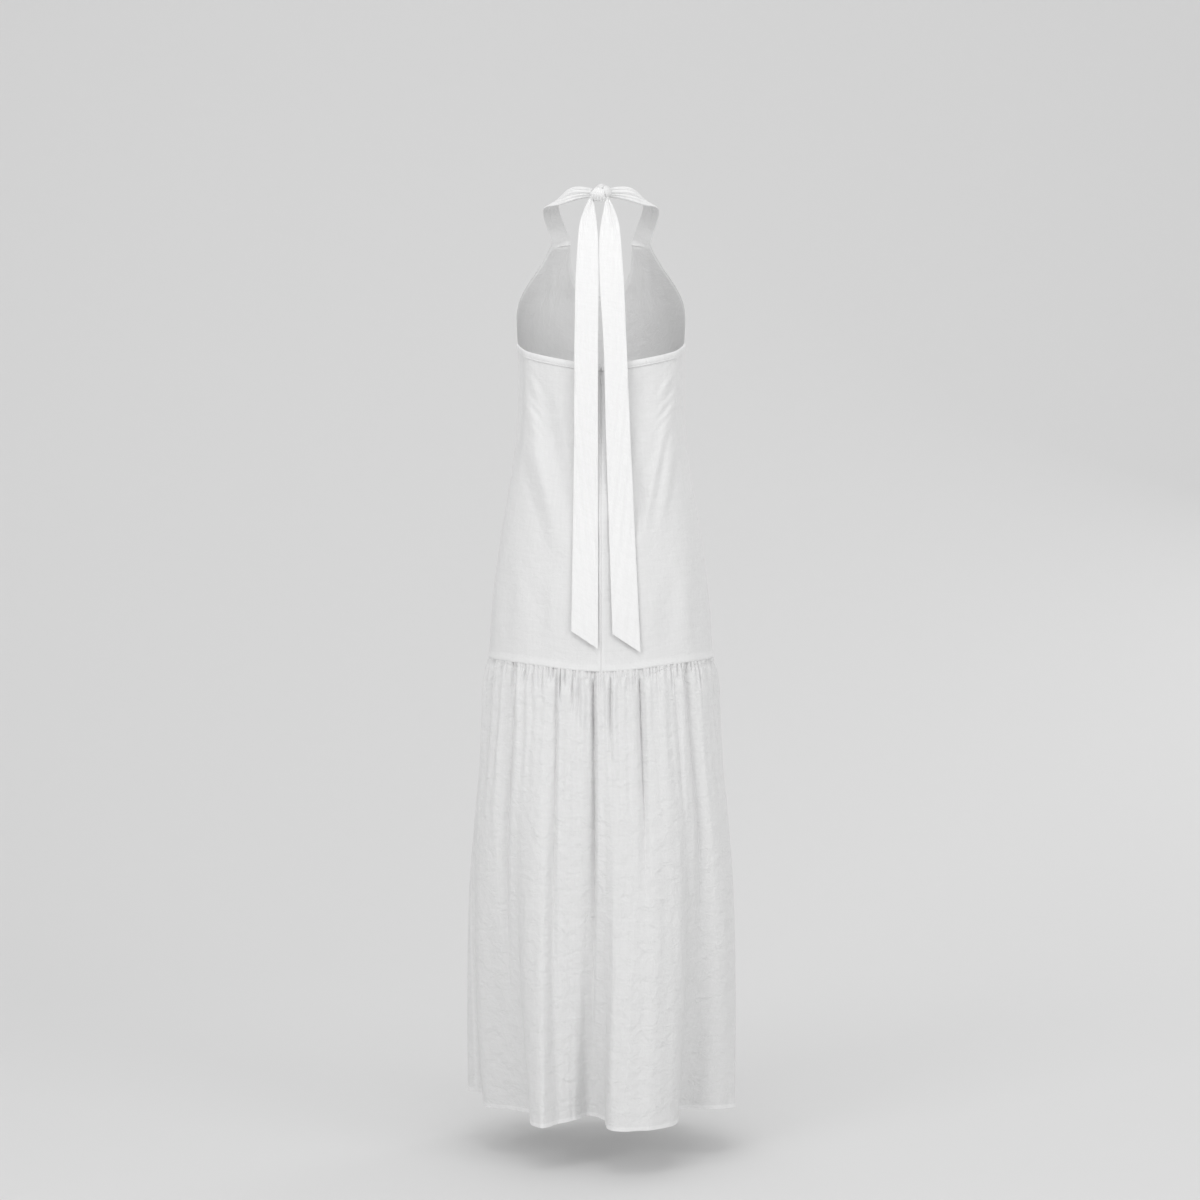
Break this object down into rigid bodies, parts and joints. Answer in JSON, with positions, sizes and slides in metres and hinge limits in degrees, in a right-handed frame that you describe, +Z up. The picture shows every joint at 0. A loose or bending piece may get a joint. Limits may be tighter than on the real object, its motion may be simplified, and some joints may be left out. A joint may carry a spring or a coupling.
{
  "type": "halter-neck maxi dress",
  "caption": "White cotton maxi dress in its worn, hollow form: halter tied at the nape, low open back with a concealed zip, A-line drop-waist bodice and one long gathered tier.",
  "frame": {"origin": "middle of the halter's neck loop, level with the knot at the nape, where a wearer's neck holds the dress up", "axes": "+Z up the dress, -Y the way the garment's front faces, +X its left side"},
  "size_m": [0.4372, 0.3965, 1.4522],
  "materials": {
    "white_cotton": "fine plain weave, matt, slightly sheer",
    "zip_tape": "close woven tape, matt",
    "zip_metal": "white lacquer, satin"
  },
  "bodies": {
    "garment": {"front_bodice": "white_cotton", "back_left": "white_cotton", "back_right": "white_cotton", "back_band_left": "white_cotton", "back_band_right": "white_cotton", "strap_left": "white_cotton", "strap_right": "white_cotton", "knot": "white_cotton", "tie_end_left": "white_cotton", "tie_end_right": "white_cotton", "tier_front": "white_cotton", "tier_back": "white_cotton", "zip_tape_left": "zip_tape", "zip_tape_right": "zip_tape", "zip_slider": "zip_metal"},
    "zip_pull": {"zip_pull": "zip_metal"}
  },
  "joints": [
    {"name": "pull_hinge", "type": "hinge", "parent": "garment", "child": "zip_pull", "pos_m": [0, 0.09913, -0.2838], "axis": [1, 0, 0], "range_deg": [0, 150]}
  ]
}
